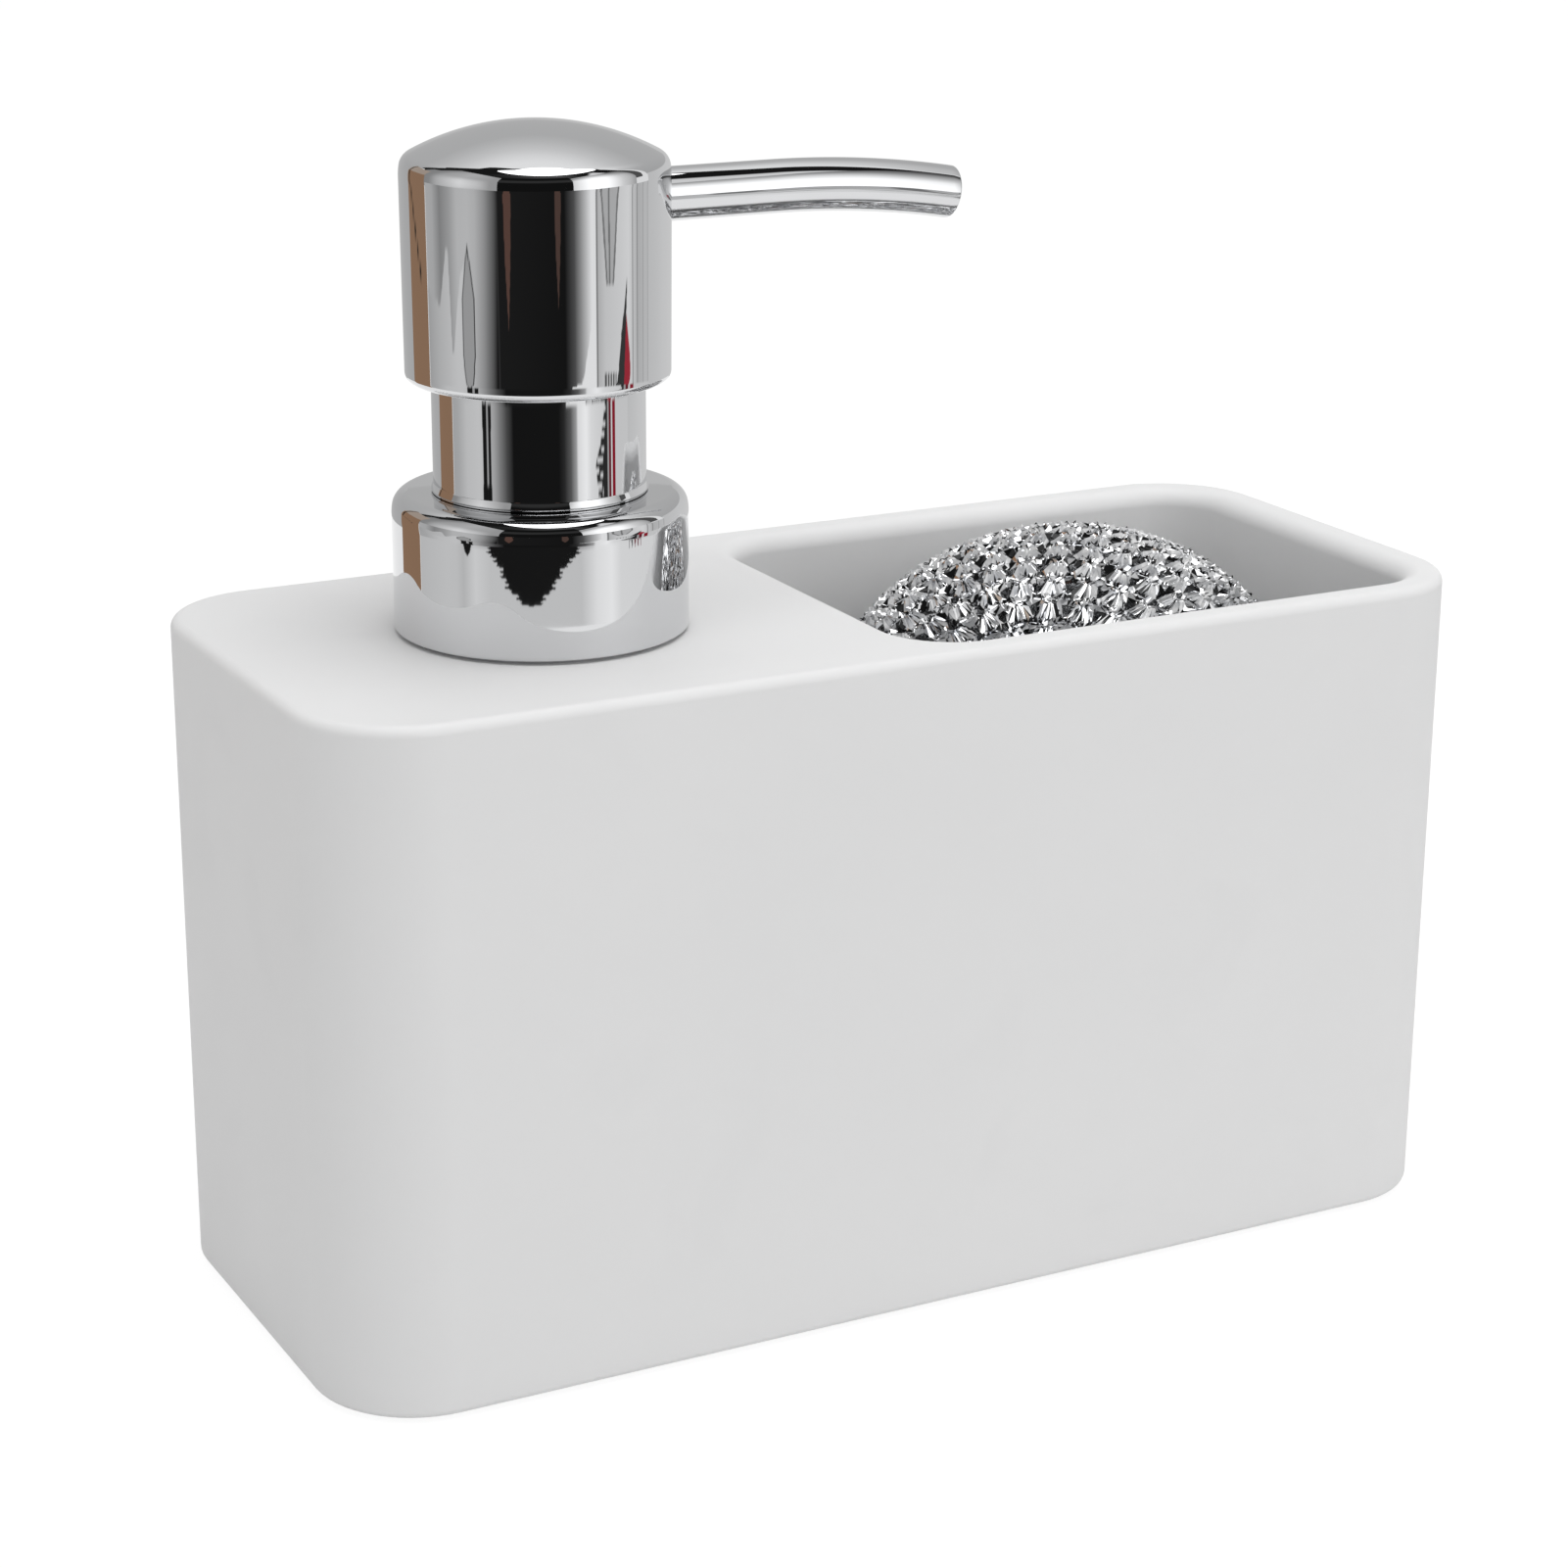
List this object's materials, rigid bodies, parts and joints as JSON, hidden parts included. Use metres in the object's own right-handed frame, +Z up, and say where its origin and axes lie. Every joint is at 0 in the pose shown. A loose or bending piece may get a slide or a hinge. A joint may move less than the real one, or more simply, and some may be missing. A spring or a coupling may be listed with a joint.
{
  "type": "soap pump caddy",
  "caption": "White cast caddy with a soap reservoir under its roof, a chrome lotion pump screwed into it and an open tray holding a silver mesh scourer.",
  "frame": {"origin": "middle of the foot, on the surface that the caddy stands on", "axes": "+Z up; +X along the body from the pump end to the tray end, which is also the way the spout points at rest; +Y to the back"},
  "size_m": [0.17, 0.0716, 0.1583],
  "materials": {
    "cast_resin": "matte white cast polyresin, finely pitted",
    "base_plastic": "satin off-white moulded plastic",
    "foot_foam": "fine closed-cell foam",
    "neck_plastic": "satin grey moulded plastic",
    "plated": "polished chrome plate",
    "white_plastic": "natural white polypropylene, satin",
    "ivory_plastic": "ivory acetal, satin",
    "gasket_foam": "soft white foam gasket",
    "tube_plastic": "milky polyethylene tube",
    "seal_rubber": "amber soft polyethylene seal",
    "spring_steel": "drawn stainless wire",
    "ball_steel": "polished stainless ball",
    "scourer_mesh": "silver metallic mesh, knitted in staggered ridges"
  },
  "bodies": {
    "caddy": {"caddy_body": "cast_resin", "base_plate": "base_plastic", "base_pad": "foot_foam", "neck_bush": "neck_plastic"},
    "pump": {"pump_housing": "white_plastic", "neck_gasket": "gasket_foam", "housing_cap": "white_plastic", "sleeve": "plated", "ball_cage": "white_plastic", "dip_tube": "tube_plastic"},
    "collar": {"collar_shell": "plated", "closure_nut": "white_plastic"},
    "plunger": {"piston_seal": "seal_rubber", "spring": "spring_steel"},
    "head": {"stem": "white_plastic", "piston_rod": "ivory_plastic", "head_insert": "white_plastic", "head_shell": "plated", "spout": "plated"},
    "ball": {"check_ball": "ball_steel"},
    "pad": {"scourer": "scourer_mesh"}
  },
  "joints": [
    {"name": "pump_lift_out", "type": "slide", "parent": "caddy", "child": "pump", "axis": [0, 0, 1], "range_m": [0, 0.115]},
    {"name": "collar_turn", "type": "hinge", "parent": "pump", "child": "collar", "pos_m": [-0.042, 0, 0.1], "axis": [0, 0, 1], "continuous": true},
    {"name": "head_press", "type": "slide", "parent": "pump", "child": "plunger", "axis": [0, 0, -1], "range_m": [0, 0.0126], "stiffness_N_per_m": 700, "springref_m": -0.008, "deforming": ["spring"]},
    {"name": "head_swivel", "type": "hinge", "parent": "plunger", "child": "head", "pos_m": [-0.042, 0, 0.148], "axis": [0, 0, 1], "continuous": true},
    {"name": "ball_lift", "type": "slide", "parent": "pump", "child": "ball", "axis": [0, 0, 1], "range_m": [0, 0.0012]},
    {"name": "scourer_lift", "type": "slide", "parent": "caddy", "child": "pad", "axis": [0, 0, 1], "range_m": [0, 0.034]}
  ]
}
